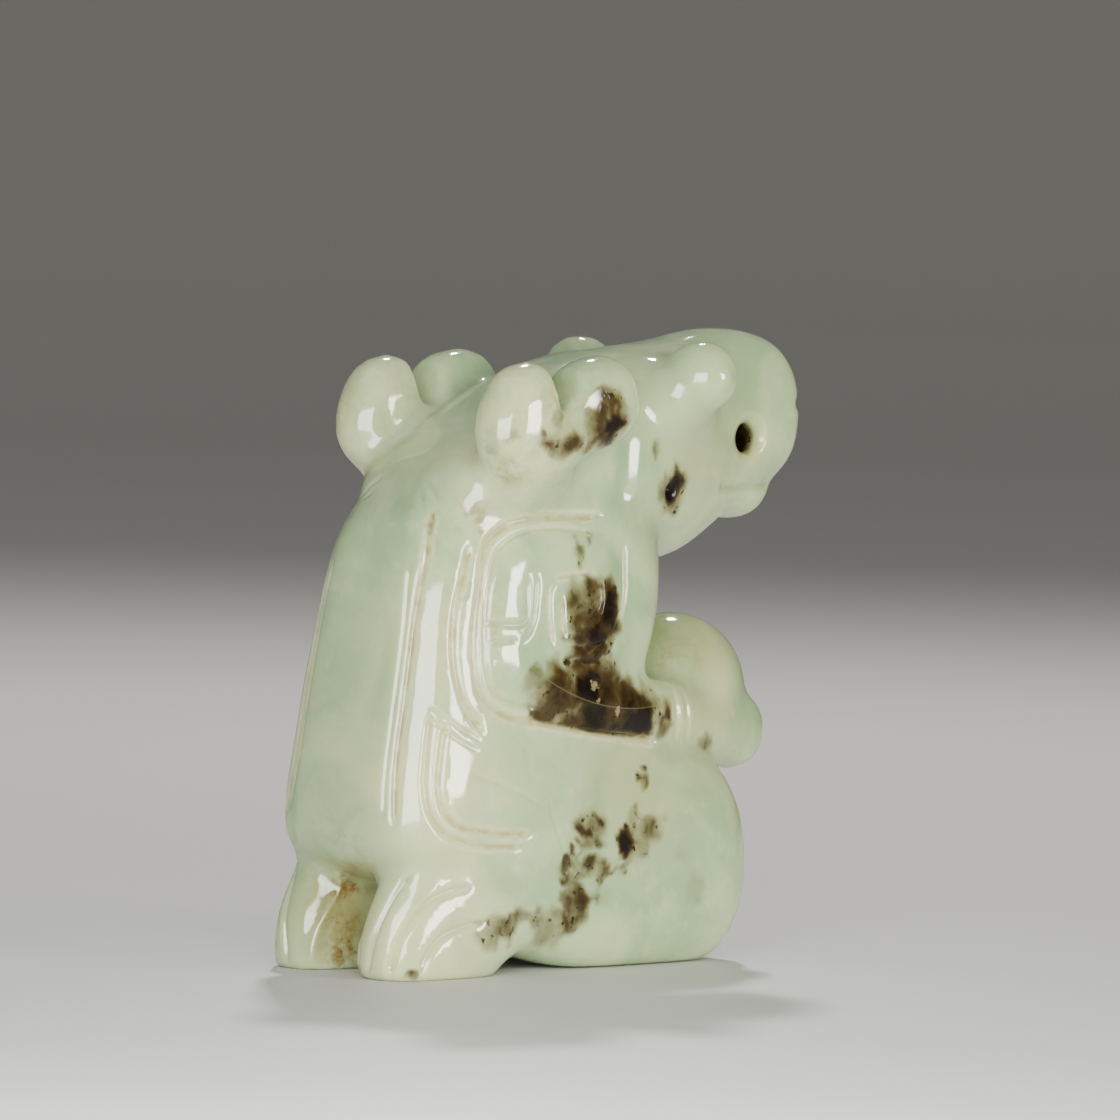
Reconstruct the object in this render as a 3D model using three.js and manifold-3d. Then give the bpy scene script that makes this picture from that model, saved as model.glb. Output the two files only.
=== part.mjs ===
// A small jade carving of a kneeling figure with an animal head, cut from one pebble.
// Millimetres. The figure faces -Y, its left is +X, and it rests on its feet and shins at z = 0.
// Places on it are given as forward (from the rearmost point of the feet), side (left is positive) and up.

import * as THREE from "three";
import { LoftGeometry } from "three/addons/geometries/LoftGeometry.js";
import { mergeVertices } from "three/addons/utils/BufferGeometryUtils.js";
import Module from "manifold-3d";

const wasm = await Module();
wasm.setup();

// Driving dimensions
const LENGTH = 61.6;
const SIDES = [1, -1];

// How finely the forms are cut
const MIDDLE_RINGS = 6;
const DOME_RINGS = 4;
const RING_POINTS = 22;
const BALL_SEGMENTS = 16;
const BALL_ROWS = 10;
const BAR_SEGMENTS = 14;
const MERGE_WITHIN = 1e-4;

// Rounded forms: (forward, side, up) centres, half sizes, squareness, and how many degrees each leans up
// toward the front
const EAR = {
  rearLobe: { centre: [16.2, 10.7, 55.3], radii: [6.4, 3.6, 6.3], square: 2.4, lean: -20 },
  frontLobe: { centre: [24.2, 10.7, 57.5], radii: [5.7, 3.5, 4.8], square: 2.5, lean: 12 },
  root: { centre: [18.8, 10.7, 54.5], radii: [8.8, 3.5, 3.6], square: 2.3, lean: 14 },
  neckSide: { centre: [17.4, 8.8, 50.6], radii: [6, 3.2, 4.4], square: 2, lean: 0 },
};
const BROW = { centre: [39, 0, 57.4], radii: [8.5, 10.4, 5.6], square: 2, lean: 0 };
const EYE = { centre: [40.8, 9.3, 60.2], radii: [3.9, 4, 3.8], square: 2, lean: 0 };
const CHIN = { centre: [53.3, 0, 48.4], radii: [4.6, 4.2, 3.4], square: 2, lean: 0 };
const BALL = { centre: [46, 0, 27.8], radii: [7.8, 7.8, 7.8], square: 2, lean: 0 };

// The notch in the top of each ear, through (forward, up) places, cut outward from a distance off the middle
const NOTCH = [[16.3, 66], [16.9, 61.2], [17.2, 58.2], [17.6, 57], [18.5, 56.6], [19.4, 57.1], [20.2, 58.8],
  [21.4, 66]];
const NOTCH_FROM = 6.6;
const NOTCH_REACH = 11;

// The hole drilled through the snout: where, and its (radius, side) profile, which widens at the mouths
const DRILLED = [51.2, 53.7];
const DRILL_PROFILE = [[0, 12], [3.3, 12], [3.3, 7.1], [2.1, 5.9], [1.5, 4.7]];

// The trunk and haunches, in level sections from the buttocks to the shoulders
const TRUNK = [
  { at: 8.2, rear: 1.8, front: 26, half: 10.8, square: 3.6 },
  { at: 14, rear: 0.5, front: 28, half: 11.5, square: 4.2 },
  { at: 24, rear: 1.5, front: 33, half: 11.4, square: 4.5 },
  { at: 31, rear: 2.6, front: 36, half: 11.1, square: 4.5 },
  { at: 36, rear: 3.4, front: 37.8, half: 10.7, square: 4.4 },
  { at: 41, rear: 4.2, front: 38.6, half: 10.3, square: 4 },
  { at: 45, rear: 5.2, front: 39, half: 9.8, square: 3.4 },
  { at: 48, rear: 7.4, front: 39, half: 9.1, square: 3 },
  { at: 53, rear: 12, front: 38.5, half: 8.6, square: 2.8 },
];

// The head and neck, in upright sections from the nape to the snout
const HEAD = [
  { at: 7.2, low: 42, high: 50.3, half: 8.9, square: 2.8 },
  { at: 14, low: 41, high: 54, half: 9.2, square: 2.8 },
  { at: 22, low: 41, high: 59.4, half: 9.2, square: 2.6 },
  { at: 30, low: 41, high: 62.2, half: 9.2, square: 2.5 },
  { at: 37, low: 41, high: 63, half: 8.8, square: 2.5 },
  { at: 43, low: 41.3, high: 63.8, half: 7.6, square: 2.5 },
  { at: 49, low: 44.4, high: 64.9, half: 6.4, square: 2.6 },
  { at: 54, low: 48, high: 64.8, half: 5.9, square: 2.6 },
  { at: 58, low: 49, high: 63.7, half: 5.4, square: 2.6 },
  { at: 61.6, low: 50, high: 62, half: 5, square: 2.6 },
];

// The upper arm, flat against the side, from the elbow to the shoulder
const UPPER_ARM = [
  { at: 26, rear: 12, front: 28, inner: 4, outer: 10.8, square: 3.4 },
  { at: 30, rear: 10.2, front: 30, inner: 4, outer: 11.6, square: 3.6 },
  { at: 36, rear: 10.2, front: 30.2, inner: 4, outer: 11.8, square: 3.6 },
  { at: 42, rear: 11.2, front: 29.6, inner: 4, outer: 11.4, square: 3.4 },
  { at: 47, rear: 14, front: 27, inner: 4, outer: 10.2, square: 3 },
];

// The forearm, sloping forward and inward to the hand
const FOREARM = [
  { at: 10.4, low: 28.4, high: 37, inner: 5, outer: 11.2, square: 3 },
  { at: 15, low: 26, high: 35, inner: 5, outer: 11.8, square: 3 },
  { at: 22, low: 24.4, high: 31.5, inner: 4, outer: 11.9, square: 2.8 },
  { at: 30, low: 23.2, high: 30, inner: 3, outer: 11.5, square: 2.8 },
  { at: 38, low: 22.2, high: 29.2, inner: 1.5, outer: 10.2, square: 2.6 },
  { at: 46, low: 20.4, high: 28.2, inner: -0.4, outer: 8.4, square: 2.4 },
  { at: 51, low: 19.2, high: 27.7, inner: -0.6, outer: 7, square: 2.3 },
  { at: 56.2, low: 19.8, high: 27, inner: -0.6, outer: 5.6, square: 2.2 },
];

// The folded leg from the buttock to the knee, resting on the shin
const LEG = [
  { at: 12, low: 1.8, high: 24, inner: 1, outer: 10.4, square: 3.2 },
  { at: 19, low: 1.4, high: 25, inner: -0.3, outer: 11.1, square: 3.4 },
  { at: 26, low: -0.1, high: 25, inner: -0.4, outer: 11.4, square: 3.4 },
  { at: 35, low: -0.5, high: 24.4, inner: -0.4, outer: 11.4, square: 3.2 },
  { at: 44, low: -0.5, high: 21.9, inner: -0.4, outer: 11, square: 2.8 },
  { at: 51.2, low: 0.4, high: 18.8, inner: -0.4, outer: 10.2, square: 2.6 },
];

// The foot, in level sections from the sole up into the buttock
const FOOT = [
  { at: -1, rear: 1, front: 14.8, inner: 3, outer: 10.2, square: 3 },
  { at: 0.8, rear: 0, front: 15.9, inner: 2.5, outer: 10.8, square: 3 },
  { at: 2.2, rear: 0, front: 18.4, inner: 2.4, outer: 10.9, square: 3 },
  { at: 5, rear: 0.2, front: 26, inner: 2.4, outer: 11, square: 3 },
  { at: 9, rear: 1.8, front: 28, inner: 2.5, outer: 11, square: 2.8 },
  { at: 14, rear: 4.4, front: 28, inner: 3, outer: 10.4, square: 2.6 },
];

// Lines carved into each side, through (forward, up) places
const SIDE_LINES = [
  [[27, 46.1], [19, 46], [14.5, 45.4], [12.1, 43.9], [10.5, 38.9], [9.7, 34], [9.7, 31], [10.4, 28.5],
    [13.2, 26.4], [18.6, 25.4], [24.7, 24.4], [29, 23.8], [35, 23]],
  [[9.9, 43.4], [8.7, 39.9], [7.6, 36], [7.3, 32], [7.9, 28.3], [10.3, 25]],
  [[4.8, 27], [4.2, 22], [4.1, 18], [4.7, 16], [6.3, 14.1], [9.1, 13.2], [12.4, 12.8], [16, 12.6]],
  [[20.1, 39.4], [22.5, 40.4], [25.4, 39.8], [26.5, 37.5], [26.4, 34.4], [23.5, 33.3], [20.2, 33.6],
    [20.1, 39.4]],
  [[47, 48.8], [50.5, 48.5], [54, 48.7], [56.6, 49]],
];

// Lines down the back, through (side, up) places
const BACK_LINES = [
  [[6.1, 46.5], [7, 43.3], [7.3, 36], [7.6, 28], [7.7, 22], [8.1, 18], [8.3, 15]],
];

// The grooves between the toes, through (forward, side, up) places from the instep down to the sole
const TOE_LINES = [
  [[3.4, 9, 10.5], [1.4, 7.7, 7.6], [0.3, 6.9, 4.3], [0.1, 6.3, 0.8]],
  [[9.4, 10.8, 9.1], [6.1, 10, 8.4], [3.2, 9.6, 6.2], [1.2, 9.5, 3.7], [0.7, 9, 0.8]],
  [[11.6, 10.7, 5.8], [8.7, 10.5, 5.1], [6, 10.4, 4], [4.2, 10.5, 2.1], [3.6, 10.5, 0.6]],
];

// The channel that every line is cut with: a pointed section, its rim raised just clear of the surface
const CHANNEL_WIDTH = 0.8;
const CHANNEL_DEPTH = 0.4;
const CHANNEL_STEP = 3;
const CHANNEL_RIM = 0.3;

// How far outside the figure a line is thrown from
const FAR = 60;

function place(forward, side, up) {
  return new THREE.Vector3(side, LENGTH / 2 - forward, up);
}

function signedPower(value, power) {
  return Math.sign(value) * Math.abs(value) ** power;
}

// A closed solid from a geometry: shared corners merged, faces that closed up dropped, right side out.
function solid(geometry) {
  const bare = new THREE.BufferGeometry();
  bare.setAttribute("position", geometry.getAttribute("position"));
  bare.setIndex(geometry.index);
  const merged = mergeVertices(bare, MERGE_WITHIN);
  const vertProperties = merged.attributes.position.array;
  const corners = merged.index.array;
  const triangles = [];
  for (let i = 0; i < corners.length; i += 3) {
    const [a, b, c] = corners.slice(i, i + 3);
    if (a !== b && b !== c && c !== a) triangles.push(a, b, c);
  }
  const build = (list) =>
    new wasm.Manifold(new wasm.Mesh({ numProp: 3, vertProperties, triVerts: new Uint32Array(list) }));
  const made = build(triangles);
  return made.volume() > 0 ? made : build(triangles.reverse());
}

// A measure of the stations at any place between them, along a smooth curve.
function between(stations, key) {
  const places = stations.map((station) => station.at);
  const values = stations.map((station) => station[key]);
  const curve = new THREE.CubicInterpolant(places, values, 1);
  return (at) => curve.evaluate(at)[0];
}

// Where a loft's sections lie: evenly along the middle, and closer together round each domed end.
function sectionPlaces(start, end, startDome, endDome) {
  const quarter = (dome) =>
    Array.from({ length: DOME_RINGS }, (_, i) => dome * (1 - Math.cos((Math.PI / 2) * (i / DOME_RINGS))));
  const first = start + startDome;
  const last = end - endDome;
  const step = (last - first) / MIDDLE_RINGS;
  const middle = Array.from({ length: MIDDLE_RINGS + 1 }, (_, i) => first + step * i);
  const before = startDome ? quarter(startDome).map((depth) => start + depth) : [];
  const after = endDome ? quarter(endDome).map((depth) => end - depth).reverse() : [];
  return [...before, ...middle, ...after];
}

// How much a section at a given depth shrinks inside a domed end.
function domeShare(depth, dome) {
  return depth >= dome ? 1 : Math.sqrt(1 - (1 - depth / dome) ** 2);
}

// A loft through rounded oblong sections. Each end can close in a dome of a given length.
function loft(stations, { from, to, axis, startDome = 0, endDome = 0 }) {
  const start = stations[0].at;
  const end = stations[stations.length - 1].at;
  const low = between(stations, from);
  const high = between(stations, to);
  const squareness = between(stations, "square");
  const section = (at, shrink) => {
    const [sideMiddle, sideHalf] = axis.side(at);
    const half = (high(at) - low(at)) / 2;
    return axis.ring(at, low(at) + half, half * shrink, sideMiddle, sideHalf * shrink, squareness(at));
  };
  const rings = sectionPlaces(start, end, startDome, endDome).map((at) =>
    section(at, domeShare(at - start, startDome) * domeShare(end - at, endDome)));
  return solid(new LoftGeometry([section(start, 0), ...rings, section(end, 0)]));
}

function ring(squareness, corner) {
  return Array.from({ length: RING_POINTS }, (_, i) => {
    const turn = (i / RING_POINTS) * 2 * Math.PI;
    return corner(signedPower(Math.cos(turn), 2 / squareness), signedPower(Math.sin(turn), 2 / squareness));
  });
}

// Level sections, for a form that stands: rear and front are its forward limits.
function standing(stations, options = {}) {
  const axis = {
    side: sideways(stations, options.sign),
    ring: (at, middle, half, sideMiddle, sideHalf, squareness) =>
      ring(squareness, (a, b) => place(middle + half * a, sideMiddle + sideHalf * b, at)),
  };
  return loft(stations, { from: "rear", to: "front", axis, ...options });
}

// Upright sections, for a form that reaches forward: low and high are its limits in height.
function reaching(stations, options = {}) {
  const axis = {
    side: sideways(stations, options.sign),
    ring: (at, middle, half, sideMiddle, sideHalf, squareness) =>
      ring(squareness, (a, b) => place(at, sideMiddle + sideHalf * b, middle + half * a)),
  };
  return loft(stations, { from: "low", to: "high", axis, ...options });
}

// How far a form reaches sideways: half on each side of the middle, or from inner to outer on one side.
function sideways(stations, sign = 0) {
  if (!sign) {
    const half = between(stations, "half");
    return (at) => [0, half(at)];
  }
  const inner = between(stations, "inner");
  const outer = between(stations, "outer");
  return (at) => [(sign * (inner(at) + outer(at))) / 2, (outer(at) - inner(at)) / 2];
}

// A round form, or a squarer one as square goes above 2
function rounded({ centre: [forward, side, up], radii: [halfLong, halfWide, halfHigh], square, lean }) {
  const geometry = new THREE.SphereGeometry(1, BALL_SEGMENTS, BALL_ROWS);
  const corners = geometry.attributes.position;
  for (let i = 0; i < corners.count; i++) {
    const corner = new THREE.Vector3().fromBufferAttribute(corners, i);
    const sum = corner.toArray().reduce((total, value) => total + Math.abs(value) ** square, 0);
    corners.setXYZ(i, ...corner.divideScalar(sum ** (1 / square)));
  }
  geometry.scale(halfWide, halfLong, halfHigh);
  geometry.rotateX(-THREE.MathUtils.degToRad(lean));
  geometry.translate(...place(forward, side, up));
  return solid(geometry);
}

function join(solids) {
  return solids.reduce((whole, piece) => whole.add(piece));
}

// What the drill takes out of the snout, turned on the line from side to side
function drilledHole() {
  const [forward, up] = DRILLED;
  const left = DRILL_PROFILE.map(([radius, side]) => new THREE.Vector2(radius, side));
  const right = DRILL_PROFILE.map(([radius, side]) => new THREE.Vector2(radius, -side)).reverse();
  const hole = new THREE.LatheGeometry([...left, ...right], BAR_SEGMENTS);
  hole.rotateZ(Math.PI / 2);
  hole.translate(...place(forward, 0, up));
  return solid(hole);
}

// The block that cuts the notch in one ear
function notch(sign) {
  const outline = new THREE.Shape(NOTCH.map(([forward, up]) => new THREE.Vector2(forward, up)));
  const block = new THREE.ExtrudeGeometry(outline, { depth: NOTCH_REACH, bevelEnabled: false });
  const forwardWay = new THREE.Vector3(0, -1, 0);
  const upWay = new THREE.Vector3(0, 0, 1);
  block.applyMatrix4(new THREE.Matrix4().makeBasis(forwardWay, upWay, new THREE.Vector3(sign, 0, 0)));
  block.translate(...place(0, sign * NOTCH_FROM, 0));
  return solid(block);
}

// The same form on the left side (1) or the right side (-1)
function onSide(sign, form) {
  const [forward, side, up] = form.centre;
  return { ...form, centre: [forward, sign * side, up] };
}

// An upright ear like a bean: two lobes on one root that runs down into the side of the neck
function ear(sign) {
  return join(Object.values(EAR).map((form) => rounded(onSide(sign, form))));
}

// Thrown along a direction onto the figure: the surface there, and the way it faces.
function surfaceAt(target, [forward, side, up], toward) {
  const way = place(...toward).sub(place(0, 0, 0)).normalize();
  const origin = place(forward, side, up).addScaledVector(way, -FAR);
  const [hit] = new THREE.Raycaster(origin, way).intersectObject(target);
  return { point: hit.point, normal: hit.face.normal.clone() };
}

// A cutter for one carved line: a pointed channel that follows the surface and runs out at both ends.
function channel(target, places, toward) {
  const path = new THREE.CatmullRomCurve3(places.map((spot) => new THREE.Vector3(...spot)));
  const steps = Math.ceil(path.getLength() / CHANNEL_STEP);
  const spots = path.getSpacedPoints(steps).map((spot) => surfaceAt(target, spot.toArray(), toward));
  const sections = spots.map(({ point, normal }, i) => {
    const before = spots[Math.max(0, i - 1)].point;
    const after = spots[Math.min(steps, i + 1)].point;
    const across = after.clone().sub(before).cross(normal).normalize();
    const reach = i === 0 || i === steps ? 0 : 1;
    return [[CHANNEL_WIDTH / 2, CHANNEL_RIM], [-CHANNEL_WIDTH / 2, CHANNEL_RIM], [0, -CHANNEL_DEPTH]]
      .map(([wide, high]) => point.clone()
        .addScaledVector(across, wide * reach).addScaledVector(normal, high * reach));
  });
  return solid(new LoftGeometry(sections));
}

function channels(target) {
  return SIDES.flatMap((sign) => [
    ...SIDE_LINES.map((line) =>
      channel(target, line.map(([forward, up]) => [forward, 0, up]), [0, -sign, 0])),
    ...BACK_LINES.map((line) => channel(target, line.map(([side, up]) => [0, sign * side, up]), [1, 0, 0])),
    ...TOE_LINES.map((line) =>
      channel(target, line.map(([forward, side, up]) => [forward, sign * side, up]), [1, -sign, 0])),
  ]);
}

const jade = new THREE.MeshStandardMaterial({ color: 0xc2c9ab, roughness: 0.18, metalness: 0 });

// Everything below the ground, cut away so that the soles and shins are flat
const GROUND_ROOM = 80;

function ground() {
  const box = new THREE.BoxGeometry(GROUND_ROOM, GROUND_ROOM, GROUND_ROOM);
  box.translate(0, 0, -GROUND_ROOM / 2);
  return solid(box);
}

function figure() {
  const middle = [
    standing(TRUNK, { startDome: 5, endDome: 6 }),
    reaching(HEAD, { startDome: 5, endDome: 5 }),
    ...[BROW, CHIN, BALL].map(rounded),
  ];
  const pairs = SIDES.flatMap((sign) => [
    ear(sign),
    rounded(onSide(sign, EYE)),
    standing(UPPER_ARM, { sign, endDome: 3, startDome: 2 }),
    reaching(FOREARM, { sign, startDome: 3, endDome: 4 }),
    reaching(LEG, { sign, endDome: 8 }),
    standing(FOOT, { sign, endDome: 3 }),
  ]);
  const rough = join([...middle, ...pairs]).subtract(join([ground(), ...SIDES.map(notch)]));
  const carved = channels(meshOf("rough", rough, jade));
  return rough.subtract(join([drilledHole(), ...carved]));
}

function meshOf(name, made, material) {
  const { numProp, vertProperties, triVerts } = made.getMesh();
  const geometry = new THREE.BufferGeometry();
  const position = new THREE.InterleavedBuffer(vertProperties, numProp);
  geometry.setAttribute("position", new THREE.InterleavedBufferAttribute(position, 3, 0));
  geometry.setIndex(new THREE.BufferAttribute(triVerts, 1));
  const mesh = new THREE.Mesh(geometry, material);
  mesh.name = name;
  return mesh;
}

const carving = new THREE.Group();
carving.add(meshOf("figure", figure(), jade));

export default carving;
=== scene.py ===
import math

import bmesh
import bpy
import numpy as np
from mathutils import Matrix, Quaternion, Vector, noise
from mathutils.bvhtree import BVHTree
from mathutils.kdtree import KDTree


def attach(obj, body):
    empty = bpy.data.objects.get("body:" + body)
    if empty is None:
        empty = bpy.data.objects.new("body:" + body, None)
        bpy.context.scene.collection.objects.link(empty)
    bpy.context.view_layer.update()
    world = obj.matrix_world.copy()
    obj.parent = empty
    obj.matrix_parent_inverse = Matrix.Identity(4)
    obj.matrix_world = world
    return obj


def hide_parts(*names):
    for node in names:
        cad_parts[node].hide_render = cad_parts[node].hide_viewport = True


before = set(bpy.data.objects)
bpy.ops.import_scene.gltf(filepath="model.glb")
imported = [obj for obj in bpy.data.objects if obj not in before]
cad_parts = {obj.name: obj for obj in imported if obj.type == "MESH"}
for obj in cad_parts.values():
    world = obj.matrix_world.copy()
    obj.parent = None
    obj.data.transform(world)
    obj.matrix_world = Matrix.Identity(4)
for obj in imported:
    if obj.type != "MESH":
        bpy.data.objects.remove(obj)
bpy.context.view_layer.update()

MM = 0.001
LENGTH = 61.6
SIDES = (1, -1)
NEAR = -1

# How close two points are one, in millimetres, and how close a row is to a form's tip, as a share of it
TOUCHING = 1e-4
TIP = 1e-6

# The roughed-out stone: rows and points round each form, the size of its faces once they are fused, and how
# often and how hard it is rubbed down
ROWS = 72
RING = 96
VOXEL = 0.6
RUBS = 12
RUB_HARD = 0.5

# Finer faces near the cuts: how near, each time; the widest line and the bluntest arris that get them; the
# slivers merged first; the shortest edge worth splitting, against the new faces; and rubs each time
FINER = (0.62, 0.32)
FINE_LINE = 0.8
ARRIS_ANGLE = math.radians(32)
SLIVER = 0.04
WORTH_SPLITTING = 1.2
FINER_RUBS = 3

# The soles and shins: how far their edges are softened, how high up that is felt, and how much of the curve
# is worked out
SOLE_EDGE = 0.25
SOLE_REACH = 4 * SOLE_EDGE
SOLE_CURVE = 30

# The trunk: up, rear, front, half width, squareness
TRUNK = [
    (8.2, 1.8, 26, 10.8, 3.6),
    (14, 0.5, 28, 11.5, 4.2),
    (24, 1.5, 33, 11.4, 4.5),
    (31, 2.6, 36, 11.1, 4.5),
    (36, 3.4, 37.8, 10.7, 4.4),
    (41, 4.2, 38.6, 10.3, 4),
    (45, 5.2, 39, 9.8, 3.4),
    (48, 7.4, 39, 9.1, 3),
    (53, 12, 38.5, 8.6, 2.8),
]

# The head and neck: forward, low, high, half width, squareness
HEAD = [
    (7.2, 42, 50.3, 8.9, 2.8),
    (14, 41, 54, 9.2, 2.8),
    (22, 41, 59.4, 9.2, 2.6),
    (30, 41, 62.2, 9.2, 2.5),
    (37, 41, 63, 8.8, 2.5),
    (43, 41.3, 63.8, 7.6, 2.5),
    (49, 44.4, 64.9, 6.4, 2.6),
    (54, 48, 64.8, 5.9, 2.6),
    (58, 49, 63.7, 5.4, 2.6),
    (61.6, 50, 62, 5, 2.6),
]

# The upper arm: up, rear, front, inner, outer, squareness
UPPER_ARM = [
    (26, 12, 28, 4, 10.8, 3.4),
    (30, 10.2, 30, 4, 11.6, 3.6),
    (36, 10.2, 30.2, 4, 11.8, 3.6),
    (42, 11.2, 29.6, 4, 11.4, 3.4),
    (47, 14, 27, 4, 10.2, 3),
]

# The forearm: forward, low, high, inner, outer, squareness
FOREARM = [
    (10.4, 28.4, 37, 5, 11.2, 3),
    (15, 26, 35, 5, 11.8, 3),
    (22, 24.4, 31.5, 4, 11.9, 2.8),
    (30, 23.2, 30, 3, 11.5, 2.8),
    (38, 22.2, 29.2, 1.5, 10.2, 2.6),
    (46, 20.4, 28.2, -0.4, 8.4, 2.4),
    (51, 19.2, 27.7, -0.6, 7, 2.3),
    (56.2, 19.8, 27, -0.6, 5.6, 2.2),
]

# The folded leg: forward, low, high, inner, outer, squareness
LEG = [
    (12, 1.8, 24, 1, 10.4, 3.2),
    (19, 1.4, 25, -0.3, 11.1, 3.4),
    (26, -0.1, 25, -0.4, 11.4, 3.4),
    (35, -0.5, 24.4, -0.4, 11.4, 3.2),
    (44, -0.5, 21.9, -0.4, 11, 2.8),
    (51.2, 0.4, 18.8, -0.4, 10.2, 2.6),
]

# The foot: up, rear, front, inner, outer, squareness
FOOT = [
    (-1, 1, 14.8, 3, 10.2, 3),
    (0.8, 0, 15.9, 2.5, 10.8, 3),
    (2.2, 0, 18.4, 2.4, 10.9, 3),
    (5, 0.2, 26, 2.4, 11, 3),
    (9, 1.8, 28, 2.5, 11, 2.8),
    (14, 4.4, 28, 3, 10.4, 2.6),
]

# Rounded forms: centre, half sizes, squareness, and how far the long axis leans up toward the front
EAR = [
    ((16.2, 10.7, 55.3), (6.4, 3.6, 6.3), 2.4, -20),
    ((24.2, 10.7, 57.5), (5.7, 3.5, 4.8), 2.5, 12),
    ((18.8, 10.7, 54.5), (8.8, 3.5, 3.6), 2.3, 14),
    ((17.4, 8.8, 50.6), (6, 3.2, 4.4), 2, 0),
]
EYE = ((40.8, 9.3, 60.2), (3.9, 4, 3.8), 2, 0)
BROW = ((39, 0, 57.4), (8.5, 10.4, 5.6), 2, 0)
CHIN = ((53.3, 0, 48.4), (4.6, 4.2, 3.4), 2, 0)
BALL = ((46, 0, 27.8), (7.8, 7.8, 7.8), 2, 0)

# The notch in the top of each ear, as (forward, up) round its edge; the step along that edge; the side that
# it starts from and its steps outwards; and its front wall, with how far round it is eased, in how many turns
NOTCH = [(16.3, 66), (16.9, 61.2), (17.2, 58.2), (17.6, 57), (18.5, 56.6), (19.4, 57.1), (20.2, 58.8),
         (21.4, 66)]
NOTCH_CURVE = 0.5
NOTCH_FROM = 6.6
NOTCH_STEP = 0.55
NOTCH_STEPS = 20
NOTCH_EASED = ((19.4, 57.1), (21.4, 66))
EASED_REACH = 2.4
EASED_TURNS = 30

# The hole drilled through the snout from both sides: (forward, up), the bore's and the mouths' radius, the
# side where a mouth has that radius, and how deep it starts to open. Then the drill's reach, widest flare
# and faces
DRILLED = (51.2, 53.7)
BORE = 1.5
MOUTH = 2.3
MOUTH_AT = 5.9
MOUTH_DEPTH = 1.4
DRILL_REACH = 12
DRILL_FLARE = 3
DRILL_ROWS = 97
DRILL_RING = 40

# Carved lines: places, half width, depth, how much the stone beside them is rounded over, and how tan they
# are. On each side of the figure, places as (forward, up)
SIDE_LINES = [
    ([(9.9, 43.4), (8.7, 39.9), (8, 37.9), (7.3, 34), (7.3, 31), (8, 28), (10.3, 24.8)], 0.3, 0.34, 0.2, 1),
    ([(27.2, 46.1), (19.1, 46), (14.5, 45.4), (12.1, 43.9), (10.5, 38.9), (9.7, 34), (9.7, 31),
      (10.4, 28.5), (13.2, 26.4), (18.6, 25.4), (24.7, 24.4), (28.9, 23.8), (35, 23)], 0.32, 0.4, 0.2, 0.9),
    ([(26.5, 44.6), (18, 44.9), (14.2, 44), (12.8, 43), (11.4, 39.9), (10.9, 36.9), (10.8, 34), (11, 31),
      (11.8, 29), (13.5, 27.8), (17, 27)], 0.28, 0.3, 0.12, 0.5),
    ([(4.6, 26.6), (4, 22.6), (3.7, 18.9), (4.2, 16.6), (5.6, 14.9), (9, 13.6), (16, 12.9)],
     0.3, 0.32, 0.22, 0.8),
    ([(6, 25.6), (5.4, 22.2), (5.1, 18.9), (5.6, 17), (6.8, 15.8), (10.4, 14.8), (17, 14.2)],
     0.3, 0.34, 0.16, 0.9),
    ([(4.4, 27.4), (5.9, 26.4), (7.8, 25.1), (9.9, 24.1)], 0.2, 0.13, 0, 0.5),
    ([(4.6, 26), (6.5, 24.6), (8, 23.7), (9.6, 23)], 0.2, 0.12, 0, 0.4),
    ([(19, 33.4), (18.5, 36.3), (18.6, 38.6), (19.5, 39.9), (21.3, 40.2), (24, 40.2), (25.5, 39.4),
      (25.8, 38.1), (25.4, 36.6), (24, 35.9)], 0.22, 0.22, 0.08, 0.7),
    ([(20.2, 38.2), (20.2, 36.1), (20.6, 34.1)], 0.22, 0.2, 0, 0.6),
    ([(21.1, 33.3), (23.6, 33.1), (25.9, 33.2), (27.8, 34.1), (29, 36.1), (29.8, 38.2), (30, 40.4),
      (30.2, 43.1)], 0.26, 0.26, 0.1, 0.6),
    ([(20.6, 31.9), (23.6, 31.6), (26.3, 31.8), (27.6, 32.4)], 0.24, 0.22, 0.08, 0.6),
    ([(17, 40.4), (16.8, 38.3), (16.5, 36.1), (16, 34.8), (15.2, 33.8)], 0.24, 0.22, 0.08, 0.2),
    ([(11, 35.6), (12.4, 35.5), (14.4, 35.4), (15.6, 35.7), (15.8, 38), (15.8, 40.2)], 0.24, 0.26, 0.14, 0.2),
    ([(11.3, 33.6), (12.4, 33.8), (14.2, 33.8)], 0.24, 0.24, 0.1, 0.3),
    ([(38, 28.2), (38, 25.7), (38.1, 23)], 0.3, 0.2, 0.06, 0.5),
    ([(39.6, 28), (39.7, 25.6), (39.9, 22.6)], 0.3, 0.16, 0.06, 0.3),
    ([(9.3, 20.6), (12.6, 19.5), (15.9, 18.3), (18.1, 17.2)], 0.25, 0.06, 0, 0.25),
    ([(19, 18), (20, 15.6), (21.3, 13.2), (21.9, 10.8)], 0.25, 0.07, 0, 0.15),
    ([(31.2, 54.6), (30.9, 50.5), (30.4, 46.6)], 1.1, 0.35, 0, 0.1),
    ([(46.4, 48.9), (50.5, 48.5), (54, 48.7), (56.6, 49)], 0.5, 0.3, 0.1, 0),
]

# Down the back, places as (side, up); the last is the raised arris of the foot's inner side
BACK_LINES = [
    ([(6.1, 46.5), (7, 43.3), (7.3, 36), (7.6, 28), (7.7, 22), (8.1, 18), (8.3, 15.5)], 0.32, 0.32, 0.2, 1),
    ([(5.9, 41), (6.4, 36), (6.7, 28), (6.9, 20), (7.2, 16.5)], 0.26, 0.2, 0.06, 0.5),
    ([(3.3, 49.6), (4.6, 48.9), (5.9, 47.6)], 0.28, 0.16, 0.05, 0.2),
    ([(3.5, 48.4), (4.6, 47.4)], 0.28, 0.14, 0.05, 0.2),
    ([(3.2, 10.2), (3.3, 8.2), (3.5, 5.6), (3.7, 2.8), (3.8, 0.6)], 0.45, -0.3, 0, 0),
]

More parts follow.
